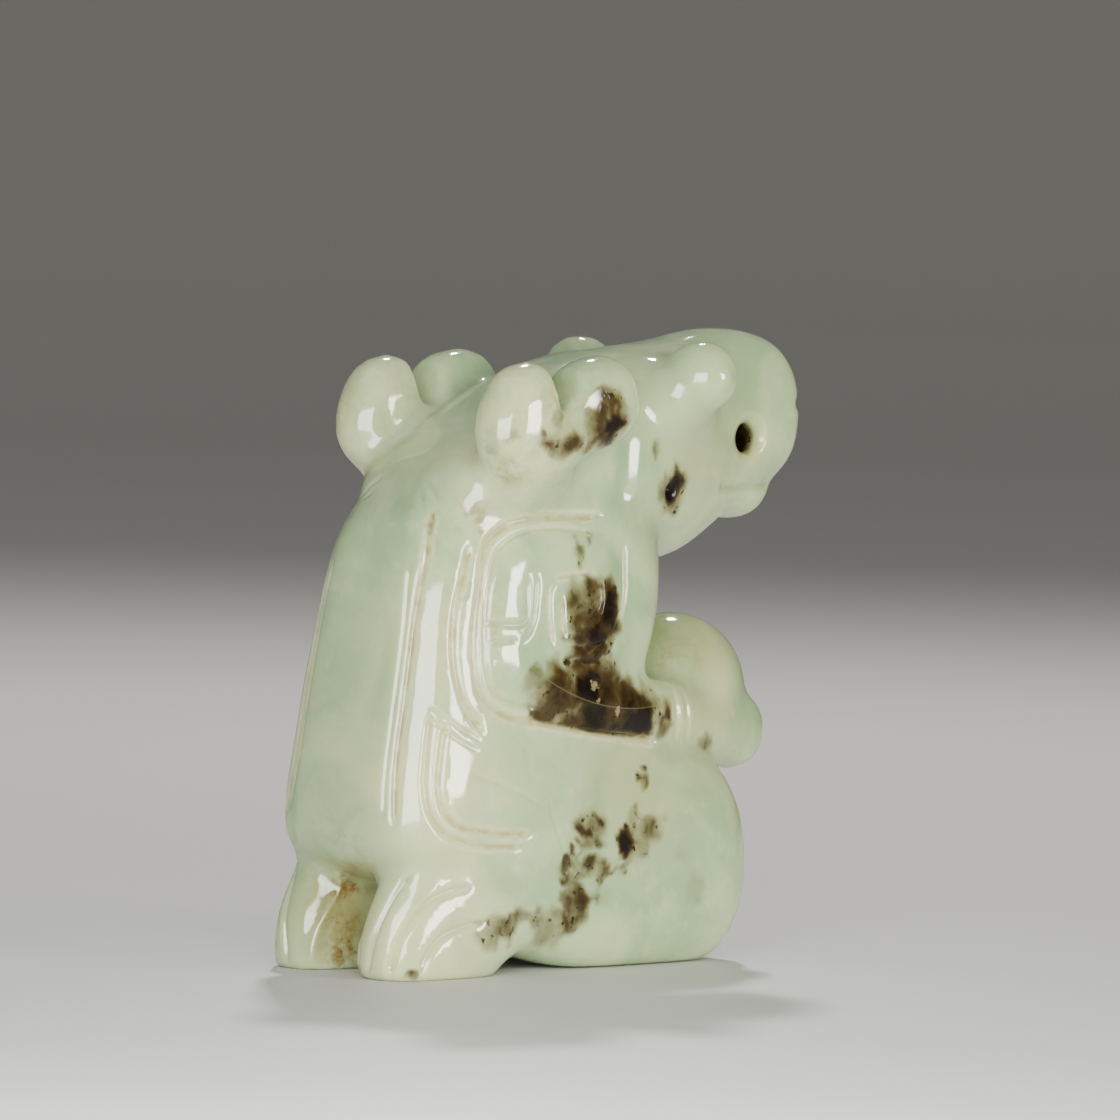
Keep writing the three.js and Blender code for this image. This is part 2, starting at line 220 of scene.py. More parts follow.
# On the feet, places as (forward, side, up): three grooves between the toes
TOE_LINES = [
    ([(3.4, 9, 10.5), (2.9, 8.7, 10.1), (2.2, 8.2, 9.1), (1.4, 7.7, 7.6), (0.7, 7.4, 6.1), (0.3, 6.9, 4.3),
      (0.1, 6.5, 2.4), (0.1, 6.3, 0.8)], 0.28, 0.36, 0.2, 0.35),
    ([(9.4, 10.8, 9.1), (7.9, 10.5, 9), (6.1, 10, 8.4), (4.4, 9.8, 7.3), (3.2, 9.6, 6.2), (2.1, 9.6, 5.1),
      (1.2, 9.5, 3.7), (0.9, 9.4, 2.6), (0.7, 9, 0.8)], 0.32, 0.44, 0.26, 0.45),
    ([(11.6, 10.7, 5.8), (10.1, 10.7, 5.5), (8.7, 10.5, 5.1), (7.2, 10.5, 4.7), (6, 10.4, 4),
      (5.1, 10.4, 3.1), (4.2, 10.5, 2.1), (3.6, 10.5, 0.6)], 0.3, 0.4, 0.24, 0.35),
]

# The nick across the front of the nose, places as (side, up)
NOSE_LINES = [([(-4.6, 57.2), (-2, 57.5), (2, 57.5), (4.6, 57.2)], 0.5, 0.5, 0.15, 0.2)]

# Between the fingers on the front of each hand, places as (side, up)
FINGER_LINES = [
    ([(0.9, 25.1), (2.6, 25.4), (4.4, 25.3)], 0.26, 0.24, 0.1, 0.5),
    ([(0.9, 23.4), (2.6, 23.6), (4.7, 23.5)], 0.26, 0.24, 0.1, 0.5),
    ([(0.9, 21.7), (2.6, 21.8), (4.4, 21.8)], 0.26, 0.24, 0.1, 0.5),
]

# Pits on the near side where soft stone has fallen out, places as (forward, up)
PITS = [
    ([(37.3, 47.8), (38.3, 49.3)], 0.7, 0.7, 0, 0),
    ([(25, 29.3), (25.6, 28.6)], 0.55, 0.3, 0, 0),
    ([(28.2, 26.5), (28.8, 26.2)], 0.45, 0.25, 0, 0),
]

# How a line is laid and cut: the step along it and the fewest steps; how far off it is thrown from; its share
# of depth at its ends and how soon it is whole; the raised rim beside it, as height, place and width against
# the line's; how far the stone is rounded over; how wide the grime lies; and how far off all this is felt
LINE_STEP = 0.25
FEWEST_STEPS = 4
THROWN_FROM = 40
END_DEPTH = 0.25
LINE_FADE = 1.2
RIM = 0.12
RIM_AT = 2.2
RIM_WIDTH = 0.7
ROUNDED_OVER = 1.5
GRIME_WIDTH = 2.2
LINE_REACH = 3
ROUNDED_REACH = 2.5 * ROUNDED_OVER

# Dark mineral in the near side: centre (forward, up), half sizes, lean in degrees, strength
DARK_MARKS = [
    ((23.6, 56), (2.7, 2.8), 0, 0.82),
    ((24.8, 55.4), (0.8, 1.5), -15, 1.4),
    ((25.2, 57.8), (0.7, 0.7), 0, 0.8),
    ((21.5, 53.5), (1.3, 0.8), 20, 0.62),
    ((17.5, 53.2), (3.2, 1.3), 0, 0.42),
    ((16, 53), (0.8, 0.9), 0, 0.78),
    ((14.8, 54.6), (0.8, 0.7), 0, 0.62),
    ((19.1, 53.7), (1.5, 1), 10, 0.66),
    ((10.7, 54), (1.2, 1.4), 0, 0.3),
    ((16.8, 56.4), (0.7, 2.2), 0, 0.34),
    ((38.2, 48.7), (1.2, 1.9), -30, 1.3),
    ((38, 48.4), (1.8, 2.5), -30, 0.7),
    ((35, 52.3), (0.6, 1.3), -20, 0.5),
    ((22.9, 42.7), (0.9, 1.3), 0, 0.6),
    ((24.4, 44), (0.5, 0.6), 0, 0.5),
    ((23.9, 36.9), (3.3, 3.3), 0, 0.74),
    ((27, 36.4), (1.5, 3.4), 0, 1.15),
    ((24.3, 34), (3.4, 1.2), 0, 1.1),
    ((24.2, 32.3), (3, 1), 0, 1.05),
    ((24.8, 30.8), (3.6, 1.2), 0, 0.8),
    ((25.6, 27.6), (4.2, 3.9), 0, 0.95),
    ((24.3, 28.9), (1.9, 1.7), 10, 1.45),
    ((25.4, 26), (3.2, 1.6), -8, 1.2),
    ((30.6, 26.4), (3.9, 2.9), -10, 0.98),
    ((26.2, 24.7), (7, 1.4), -8, 0.95),
    ((31.6, 25.2), (2.6, 1.4), -10, 1.3),
    ((20, 28.4), (3.4, 3.1), 0, 0.84),
    ((19.2, 28.9), (1, 1.7), -20, 1.05),
    ((16.1, 30), (1.6, 1.2), 30, 0.5),
    ((18.8, 26.5), (2.8, 1.5), 0, 0.78),
    ((35.9, 25.3), (1.2, 2.1), 0, 0.78),
    ((43.2, 22.7), (0.9, 1.4), 0, 0.4),
    ((32.2, 20), (0.6, 0.6), 0, 0.85),
    ((32.3, 18.8), (0.6, 0.7), 0, 0.9),
    ((25.2, 14.8), (2.1, 2.1), 0, 0.5),
    ((24.3, 13.9), (0.9, 1.2), 20, 0.92),
    ((25.8, 15.7), (0.5, 0.9), 0, 0.8),
    ((26.3, 13.1), (0.9, 0.8), 0, 0.7),
    ((22.9, 12.5), (0.5, 0.9), 0, 0.8),
    ((30, 12.7), (1.1, 1.3), 10, 1.3),
    ((29.7, 14.3), (0.6, 0.9), 0, 0.8),
    ((32, 13.3), (3.2, 1.7), 32, 0.6),
    ((30.8, 15.2), (1.6, 1.2), 20, 0.4),
    ((22.3, 10.9), (1.2, 0.8), -10, 0.82),
    ((25.2, 10.8), (1.1, 1.1), 0, 0.84),
    ((27.1, 10.1), (1.3, 0.9), 0, 0.76),
    ((24.8, 10.5), (3.6, 1.4), -5, 0.5),
    ((29.6, 10.2), (0.6, 0.5), 0, 0.5),
    ((21.9, 9.4), (1, 0.7), 0, 0.85),
    ((23, 8.2), (1.5, 1.3), 0, 0.55),
    ((23.6, 6.8), (1.6, 1.7), 20, 0.84),
    ((22.9, 5.2), (2.1, 1.4), 0, 0.58),
    ((26.2, 7.3), (1.2, 0.9), -20, 0.42),
    ((20.6, 4.7), (2.8, 2.5), 0, 0.42),
    ((18.4, 6), (1, 1.1), 0, 0.6),
    ((13.2, 4.7), (2.8, 1.7), 15, 0.55),
    ((15.5, 5.8), (2.1, 1.1), 25, 0.5),
    ((38, 11.4), (1.4, 1.4), 0, 0.2),
    ((39.8, 8.2), (1.5, 2.3), 0, 0.25),
    ((2.9, 0.9), (0.9, 0.9), 0, 0.5),
]

# How fast a dark mark falls off
MARK_FALL = 0.7

# The dark patch on the forearm stops at the line below it: (forward, up) along that line, and within how much
PATCH_EDGE = [(13.2, 26.2), (18.6, 25.2), (24.7, 24.2), (28.9, 23.6), (35, 22.8)]
PATCH_FADE = 0.5

# How far the edges of the dark marks wander, over what distance, and the seed that fixes which way
WANDER = 1.1
WANDER_SIZE = 1.5
WANDER_SEED = 4

# The dark mineral lies only this far out to the side, and farther out on the ear; and where the ear begins,
# upwards and from the front
SIDE_SKIN = 4
EAR_SKIN = 11
EAR_UP = 51.5
EAR_FRONT = 28.5

# Painted shade deep in the drilled hole: how far round it, from how deep, and how gradually
BORE_SHADE_ROUND = 1.15 * BORE
BORE_SHADE_FROM = MOUTH_AT - 1
BORE_SHADE_FADE = 1.5

# Pale dust left in pits of the patch: centre (forward, up), reach
DUSTY = [((24.9, 29.1), 1), ((28.4, 26.4), 0.9), ((25.4, 27.6), 0.6)]

# One long scratch across the patch, an arc: its centre (forward, up) and radius
SCRATCH = ((31.2, 53.6), 27)

# Rusty clouds: centre (forward, side, up), half size, strength
RUST_MARKS = [
    ((7.8, -6.3, 46.2), 0.8, 1.2),
    ((7.3, -6.5, 44.9), 0.8, 1.2),
    ((6.9, -6.7, 43.5), 0.8, 1),
    ((1.6, -1, 12), 4, 0.4),
    ((41.3, -5.3, 31), 3.4, 0.4),
    ((5.1, 3.2, 8.2), 2.2, 1.3),
    ((4.4, 3, 5.2), 2.4, 1),
    ((5, 2.6, 2), 2.6, 1.2),
    ((12, -12, 50.6), 2.2, 0.7),
    ((11, -8.6, 46), 2.4, 0.6),
    ((18, -13, 56), 9, 0.3),
    ((14, 11, 56), 8, 0.25),
    ((9, -11, 36), 7, 0.25),
    ((22, 11, 30), 5, 0.3),
    ((50.9, -5, 52), 1.8, 0.5),
]

# Honey-coloured clouds: partly where iron has tinted the stone, as on the ball, partly painted shade that
# darkens the front half, the head and nape, and the far foot's turned-away inner side: centre (forward, side,
# up), half size, strength
HONEY_AND_SHADE_MARKS = [
    ((31, -11, 19), 9, 0.5),
    ((42, -8, 24), 8, 0.5),
    ((45, -4, 32), 6, 0.8),
    ((42, 9, 24), 9, 0.4),
    ((44, -6, 52), 9, 0.45),
    ((36, -9, 45), 5, 0.35),
    ((12, -2, 51), 5, 0.3),
    ((5, 3, 6), 4.5, 1.2),
]

# Creamy clouds: the pebble's paler skin on the ears, and painted light that brightens the low feet, the near
# flank and the lit mouth of the drilled hole: centre (forward, side, up), half size, strength
CREAM_AND_LIGHT_MARKS = [
    ((4, -8, 2), 10, 1),
    ((5, -9.5, 34), 6, 1),
    ((4, -9.5, 20), 8, 1),
    ((14, -13, 55), 7, 0.6),
    ((10, 12, 54), 8, 0.6),
    ((3, 5, 2), 7, 0.6),
    ((51.6, -5.6, 53.2), 2.2, 1),
]

# Colours of the stone, its tints, its dark mineral and its dust; cream also paints light, honey paints
# shade, and brown and near black paint the shade deep in the drilled hole
CELADON = "#a0ba8c"
PALE = "#bccd9e"
CREAM = "#e1dcab"
HONEY = "#a09862"
TAN = "#aa8a4c"
RUST = "#83602e"
OLIVE = "#7d6f38"
BROWN = "#43351a"
NEAR_BLACK = "#120a04"
DUST = "#9f9068"

# Grain of the stone and its polish: size in millimetres, detail, roughness, distortion
GRAIN = {
    "clouds": (13, 4, 0.55, 0.8),
    "wisps": (2.6, 3, 0.6, 0),
    "fine": (0.7, 3, 0.6, 0),
    "specks": (0.8, 1, 0.5, 0),
    "patchy": (1.8, 3, 0.5, 0),
    "blotches": (2.3, 2, 0.5, 0.4),
    "worn": (5, 3, 0.5, 0),
    "hand_polish": (3.2, 2, 0.5, 0),
    "scratched": (0.35, 4, 0.7, 0),
}

# Streaks in the dark mineral, long upwards: size in millimetres, and detail
STREAK = (1.1, 1.1, 8)
STREAK_DETAIL = 2

# What the shaping notes on the stone for its material
NOTED = ("grime", "rust", "honey", "cream", "dark", "dust", "scratch")

# How each tint or finish fades in: where it starts, where it is full, and its strength at each
FADES = {
    "pale": (0.36, 0.6, 0, 1),
    "creamy": (0.55, 0.78, 0, 0.6),
    "wispy": (0.52, 0.8, 0, 0.4),
    "settled": (0.3, 0.62, 0.35, 1),
    "banded": (0.08, 0.5, 0, 0.6),
    "tan": (0.45, 0.95, 0, 0.42),
    "wisp": (0.62, 1, 0, 1),
    "present": (0.03, 0.25, 0, 1),
    "dot": (0.6, 0.68, 0, 1),
    "strewn": (0.36, 0.54, 0, 1),
    "among": (0.24, 0.5, 0, 1),
    "halo": (0.02, 0.5, 0, 0.6),
    "brown": (0.15, 0.85, 0, 1),
    "black": (0.65, 1.25, 0, 1),
    "dusty": (1.6, 1.95, 0, 0.65),
    "scratch": (0.1, 0.02, 0, 0.2),
    "soaked": (0, 1, 0.9, 0.2),
    "gloss": (0, 1, 0.8, 0.2),
    "polish": (0.35, 0.75, 0.06, 0.13),
}
FADE = {name: dict(zip(("From_Min", "From_Max", "To_Min", "To_Max"), ends)) for name, ends in FADES.items()}

# How much of one pattern goes with another: the cream tint with its painted light, the honey tint with its
# painted shade, fine grain in the rust, fine grain and streaks at the dark mineral's edges, black in its
# dots, fine grain in the dust, and roughness
CREAM_AND_LIGHT_SHARE = 0.7
HONEY_AND_SHADE_SHARE = 0.8
RUST_FINE = 0.6
EDGE_FINE = 0.15
EDGE_STREAKS = 0.16
EDGE_MIDDLE = (1 + EDGE_FINE + EDGE_STREAKS) / 2
DOT_BLACK = 0.6
DUST_FINE = 2.4
GRIME_ROUGH = 0.12
BLACK_ROUGH = 0.06

# How light behaves in nephrite: its IOR, how far red, green and blue go in against each other, and how far
# that is in millimetres
NEPHRITE_IOR = 1.61
SOAK = (1, 0.96, 0.5)
SOAK_DEPTH = 3.6

# Unevenness of the polish: strength, and depth in millimetres
FLATS = (0.35, 0.1)
HAIRLINES = (0.12, 0.02)
MINERAL_PITS = (0.5, 0.08)

# The board under the figure: (out, up) from its middle to its rim in metres, steps round, colour, roughness
BOARD = [(0, 0), (1.5, 0), (1.75, 0.03), (1.95, 0.12), (2.1, 0.3), (2.15, 0.6)]
BOARD_STEPS = 96
BOARD_COLOUR = "#d3d1cc"
BOARD_ROUGH = 0.55

# The camera: its place in metres; how far it looks across the figure's back, looks down and is rolled; the
# angle of view, which is a long lens's; and the nearest that it sees
CAMERA_AT = (-0.6205, 0.5592, 0.0813)
CAMERA_ACROSS, CAMERA_DOWN, CAMERA_ROLL = math.radians(42), math.radians(2.7566), math.radians(1.36)
CAMERA_VIEW = math.radians(7.842)
CAMERA_NEAREST = 0.05

# Soft lights: name, direction from the figure's middle, distance and sizes in metres, watts, colour
LIT_MIDDLE = (0, 0, 0.032)
LIGHTS = [
    ("window", (-0.93, -0.34, 0.1), 0.6, (0.17, 0.24), 2.8, "#fffbf0"),
    ("rim", (0.52, -0.5, 0.72), 0.6, (0.045, 0.045), 2.4, "#ffffff"),
    ("behind", (-0.7, 0.7, 0.12), 0.24, (0.2, 0.12), 0.86, "#f2faf8"),
    ("overhead", (0.1, 0.35, 1), 1.5, (1.2, 1.2), 2.5, "#fbfaff"),
]
ROOM_COLOUR = "#dbdbd8"
ROOM_STRENGTH = 0.26


def place(forward, side, up):
    """A place on the piece as Blender has it, still in millimetres."""
    return Vector((side, LENGTH / 2 - forward, up))


def signed_power(value, power):
    return np.sign(value) * np.abs(value) ** power


def between(stations, column):
    """A measure of the stations at any place between them, along a smooth curve."""
    table = np.array(stations, float)
    at, value = table[:, 0], table[:, column]
    slope = np.gradient(value, at)

    def measure(place_at):
        i = np.clip(np.searchsorted(at, place_at) - 1, 0, len(at) - 2)
        gap = at[i + 1] - at[i]
        t = (place_at - at[i]) / gap
        return ((1 + 2 * t) * (1 - t) ** 2 * value[i] + t * (1 - t) ** 2 * gap * slope[i]
                + t ** 2 * (3 - 2 * t) * value[i + 1] + t ** 2 * (t - 1) * gap * slope[i + 1])

    return measure


def wrap(stone, surface, rows=ROWS, points=RING):
    """Adds a closed shell: a grid wrapped round by surface(along, turn), each from 0 to 1."""
    grid = bmesh.ops.create_grid(stone, x_segments=points, y_segments=rows, size=0.5)["verts"]
    flat = np.array([vert.co for vert in grid])
    places = surface(flat[:, 1] + 0.5, flat[:, 0] + 0.5)
    for vert, spot in zip(grid, zip(*places)):
        vert.co = place(*spot)
    bmesh.ops.remove_doubles(stone, verts=grid, dist=TOUCHING)


def is_tip(along):
    """Whether a place is at an end of a form, where its rows close to a point."""
    return (along < TIP) | (along > 1 - TIP)


def dome(depth, length):
    """How much a section shrinks at a depth inside a domed end."""
    if not length:
        return np.ones_like(depth)
    return np.sqrt(1 - np.clip(1 - depth / length, 0, 1) ** 2)


def loft(stone, stations, upright, sign=0, start_dome=0, end_dome=0):
    """A form through rounded oblong sections: level ones if upright, otherwise ones that face forward."""
    first, last = stations[0][0], stations[-1][0]
    low, high = between(stations, 1), between(stations, 2)
    inner, outer = between(stations, 3), between(stations, -2)
    square = between(stations, -1)

    def surface(along, turn):
        at = first + (last - first) * (1 - np.cos(math.pi * along)) / 2
        shrink = dome(at - first, start_dome) * dome(last - at, end_dome)
        shrink[is_tip(along)] = 0
        across = signed_power(np.sin(turn * 2 * math.pi), 2 / square(at))
        through = signed_power(np.cos(turn * 2 * math.pi), 2 / square(at))
        middle = (low(at) + high(at)) / 2 + (high(at) - low(at)) / 2 * shrink * through
        if sign:
            side = sign * (inner(at) + outer(at)) / 2 + (outer(at) - inner(at)) / 2 * shrink * across
        else:
            side = outer(at) * shrink * across
        return (middle, side, at) if upright else (at, side, middle)

    wrap(stone, surface)


def rounded(stone, form, sign=1):
    """A round form, or a squarer one as its squareness goes above 2."""
    (forward, side, up), (half_long, half_wide, half_high), square, lean = form
    rise, run = math.sin(math.radians(lean)), math.cos(math.radians(lean))

    def surface(along, turn):
        tip, circle = math.pi * along, 2 * math.pi * turn
        unit = np.array([np.sin(tip) * np.cos(circle), np.sin(tip) * np.sin(circle), np.cos(tip)])
        unit /= (np.abs(unit) ** square).sum(0) ** (1 / square)
        long, high = half_long * unit[0], half_high * unit[2]
        across = sign * side + half_wide * unit[1]
        return forward + long * run - high * rise, across, up + long * rise + high * run

    wrap(stone, surface)


def drill(stone):
    """The drill's path through the snout: a bore that widens into a mouth at each side."""
    forward, up = DRILLED

    def surface(along, turn):
        side = (along * 2 - 1) * DRILL_REACH
        flare = np.clip((np.abs(side) - MOUTH_AT + MOUTH_DEPTH) / MOUTH_DEPTH, 0, DRILL_FLARE)
        radius = np.where(is_tip(along), 0, BORE + (MOUTH - BORE) * flare ** 2)
        angle = 2 * math.pi * turn
        return forward + radius * np.cos(angle), side, up + radius * np.sin(angle)

    wrap(stone, surface, rows=DRILL_ROWS, points=DRILL_RING)


def notch(stone, sign):
    """The block that cuts an ear's notch: the notch's outline, drawn out sideways in short steps."""
    outline = curve_through(NOTCH, NOTCH_CURVE)
    corners = [stone.verts.new(place(forward, sign * NOTCH_FROM, up)) for forward, up in outline]
    reached = [stone.faces.new(corners)]
    for turn in range(NOTCH_STEPS):
        drawn = bmesh.ops.extrude_face_region(stone, geom=reached)["geom"]
        if turn:
            bmesh.ops.delete(stone, geom=reached, context="FACES_ONLY")
        moved = [part for part in drawn if isinstance(part, bmesh.types.BMVert)]
        reached = [part for part in drawn if isinstance(part, bmesh.types.BMFace)]
        bmesh.ops.translate(stone, verts=moved, vec=(sign * NOTCH_STEP, 0, 0))


def ease(made):
    """Rubs the front wall of each ear's notch round, hardest along the middle of it."""
    stone = bmesh.new()
    stone.from_mesh(made.data)
    start, end = np.array(NOTCH_EASED, float)
    spots = np.array([(LENGTH / 2 - vert.co.y, vert.co.z) for vert in stone.verts])
    sides = np.array([abs(vert.co.x) for vert in stone.verts])
    along = np.clip((spots - start) @ (end - start) / ((end - start) ** 2).sum(), 0, 1)
    gap = np.linalg.norm(spots - start - along[:, None] * (end - start), axis=1)
    gap[sides < NOTCH_FROM] = EASED_REACH
    points = list(stone.verts)
    for turn in range(EASED_TURNS):
        reach = EASED_REACH * (1 - turn / EASED_TURNS)
        rub_points(stone, [points[i] for i in np.flatnonzero(gap < reach)], 1)
    stone.to_mesh(made.data)
    stone.free()


def new_object(name, shape):
    mesh = bpy.data.meshes.new(name)
    shape.to_mesh(mesh)
    shape.free()
    made = bpy.data.objects.new(name, mesh)
    bpy.context.scene.collection.objects.link(made)
    return made


def settle(made):
    """Makes an object's modifiers part of its mesh."""
    evaluated = made.evaluated_get(bpy.context.evaluated_depsgraph_get())
    mesh = bpy.data.meshes.new_from_object(evaluated)
    made.modifiers.clear()
    old, made.data = made.data, mesh
    bpy.data.meshes.remove(old)


def fuse(made):
    """One closed skin round everything the object holds."""
    voxels = made.modifiers.new("fuse", "REMESH")
    voxels.mode = "VOXEL"
    voxels.voxel_size = VOXEL
    settle(made)


def rough_figure():
    """The figure's forms before they are fused: they overlap, and the end domes round off their ends."""
    stone = bmesh.new()
    loft(stone, TRUNK, upright=True, start_dome=5, end_dome=6)
    loft(stone, HEAD, upright=False, start_dome=5, end_dome=5)
    for form in (BROW, CHIN, BALL):
        rounded(stone, form)
    for sign in SIDES:
        for form in (*EAR, EYE):
            rounded(stone, form, sign)
        loft(stone, UPPER_ARM, upright=True, sign=sign, start_dome=2, end_dome=3)
        loft(stone, FOREARM, upright=False, sign=sign, start_dome=3, end_dome=4)
        loft(stone, LEG, upright=False, sign=sign, end_dome=8)
        loft(stone, FOOT, upright=True, sign=sign, end_dome=3)
    bmesh.ops.recalc_face_normals(stone, faces=stone.faces)
    return new_object("jade_figure", stone)


def rub(made, turns):
    """Rubs the whole stone down: every point moves part of the way to the middle of its neighbours."""
    stone = bmesh.new()
    stone.from_mesh(made.data)
    rub_points(stone, stone.verts, turns)
    stone.to_mesh(made.data)
    stone.free()


def rub_points(stone, points, turns):
    for _ in range(turns):
        bmesh.ops.smooth_vert(stone, verts=points, factor=RUB_HARD,
                              use_axis_x=True, use_axis_y=True, use_axis_z=True)


def cut(made, shape, *details):
    """Takes a shape out of the stone."""
    block = bmesh.new()
    shape(block, *details)
    bmesh.ops.recalc_face_normals(block, faces=block.faces)
    cutter = new_object("cutter", block)
    taken = made.modifiers.new("cut", "BOOLEAN")
    taken.operation = "DIFFERENCE"
    taken.solver = "EXACT"
    taken.object = cutter
    settle(made)
    bpy.data.objects.remove(cutter)


def curve_through(places, step=LINE_STEP):
    """Points a short step apart on a smooth curve through the places."""
    knots = np.array(places, float)
    reach = np.concatenate([[0], np.cumsum(np.linalg.norm(np.diff(knots, axis=0), axis=1))])
    columns = [between(list(zip(reach, knots[:, i])), 1) for i in range(knots.shape[1])]
    at = np.linspace(0, reach[-1], max(FEWEST_STEPS, int(reach[-1] / step)))
    return np.stack([column(at) for column in columns], 1)


def carved_lines(made):
    """Every carved line thrown onto the stone: its points, half width, depth, rounding over and tan."""
    tree = BVHTree.FromObject(made, bpy.context.evaluated_depsgraph_get())
    lines = []

    def throw(drawn, laid, toward):
        way = (place(*toward) - place(0, 0, 0)).normalized()
        for places, *rest in drawn:
            spots = [place(*laid(*spot)) for spot in curve_through(places)]
            hits = [tree.ray_cast(spot - way * THROWN_FROM, way)[0] for spot in spots]
            lines.append((np.array([hit for hit in hits if hit]), *rest))

    for sign in SIDES:
        throw(SIDE_LINES, lambda forward, up: (forward, 0, up), (0, -sign, 0))
        throw(BACK_LINES, lambda side, up: (0, sign * side, up), (1, 0, 0))
        throw(FINGER_LINES, lambda side, up: (LENGTH, sign * side, up), (-1, 0, 0))
        throw(TOE_LINES, lambda forward, side, up: (forward, sign * side, up), (1, -sign, 0))
    throw(NOSE_LINES, lambda side, up: (LENGTH, side, up), (-1, 0, 0))
    throw(PITS, lambda forward, up: (forward, 0, up), (0, -NEAR, 0))
    return lines


def all_points(mesh, name="co"):
    points = np.empty(len(mesh.vertices) * 3)
    mesh.vertices.foreach_get(name, points)
    return points.reshape(-1, 3)


def refine(made, lines):
    """Splits the faces near the carved lines and the arrises of the cuts, twice, and closer in each time."""
    stone = bmesh.new()
    stone.from_mesh(made.data)
    bmesh.ops.remove_doubles(stone, verts=stone.verts, dist=SLIVER)
    bmesh.ops.triangulate(stone, faces=stone.faces)

    def arrises():
        sharp = [edge for edge in stone.edges if edge.calc_face_angle(0) > ARRIS_ANGLE]
        return {vert for edge in sharp for vert in edge.verts}

    spots = [Vector(spot) for line, half, *_ in lines if half < FINE_LINE for spot in line]
    spots += [vert.co.copy() for vert in arrises()]
    near = KDTree(len(spots))
    for i, spot in enumerate(spots):
        near.insert(spot, i)
    near.balance()
    for turn, reach in enumerate(FINER):
        shortest = VOXEL / 2 ** (turn + 1) * WORTH_SPLITTING
        close = {vert for vert in stone.verts if near.find(vert.co)[2] < reach}
        edges = [edge for edge in stone.edges if close.intersection(edge.verts)]
        edges = [edge for edge in edges if edge.calc_length() > shortest]
        bmesh.ops.subdivide_edges(stone, edges=edges, cuts=1)
        bmesh.ops.triangulate(stone, faces=[face for face in stone.faces if len(face.verts) > 3])
        rub_points(stone, [vert for vert in stone.verts if near.find(vert.co)[2] < reach], FINER_RUBS)
    stone.to_mesh(made.data)
    stone.free()


def nearness(points, line):
    """Each point's distance from a line, and the distance along it to its nearer end."""
    start, end = line[:-1], line[1:]
    span = end - start
    length = np.linalg.norm(span, axis=1)
    t = np.clip(((points[:, None] - start) * span).sum(2) / np.maximum(length, 1e-9) ** 2, 0, 1)
    gap = np.linalg.norm(points[:, None] - start - t[..., None] * span, axis=2)
    nearest = gap.argmin(1)
    row = np.arange(len(points))
    passed = np.concatenate([[0], np.cumsum(length)])[nearest] + t[row, nearest] * length[nearest]
    return gap[row, nearest], np.minimum(passed, length.sum() - passed)


def carve(made, lines):
    """Sinks every line into the stone, rounds over the stone beside it, and notes where grime settles."""
    mesh = made.data
    points = all_points(mesh)
    normals = all_points(mesh, "normal")
    sunk = np.zeros(len(points))
    shoulder = np.zeros(len(points))
    grime = np.zeros(len(points))
    for line, half, depth, over, tan in lines:
        reach = half * LINE_REACH + ROUNDED_REACH
        near = np.flatnonzero(((points > line.min(0) - reach) & (points < line.max(0) + reach)).all(1))
        gap, end = nearness(points[near], line)
        fade = np.clip(END_DEPTH + end / LINE_FADE, 0, 1)
        groove = np.exp(-(gap / half) ** 2) - RIM * np.exp(-((gap / half - RIM_AT) / RIM_WIDTH) ** 2)
        sunk[near] += fade * depth * groove
        shoulder[near] = np.maximum(shoulder[near], fade * over * np.exp(-gap / ROUNDED_OVER))
        settled = np.exp(-(gap / (half * GRIME_WIDTH)) ** 2)
        grime[near] = np.maximum(grime[near], fade * tan * settled)
    points -= normals * (sunk + shoulder)[:, None]
    mesh.vertices.foreach_set("co", points.ravel())
    store(mesh, "grime", grime)


def store(mesh, name, values):
    """Keeps a value for each point, for the material to read."""
    layer = mesh.attributes.new(name, "FLOAT", "POINT")
    layer.data.foreach_set("value", values.astype(np.float32))


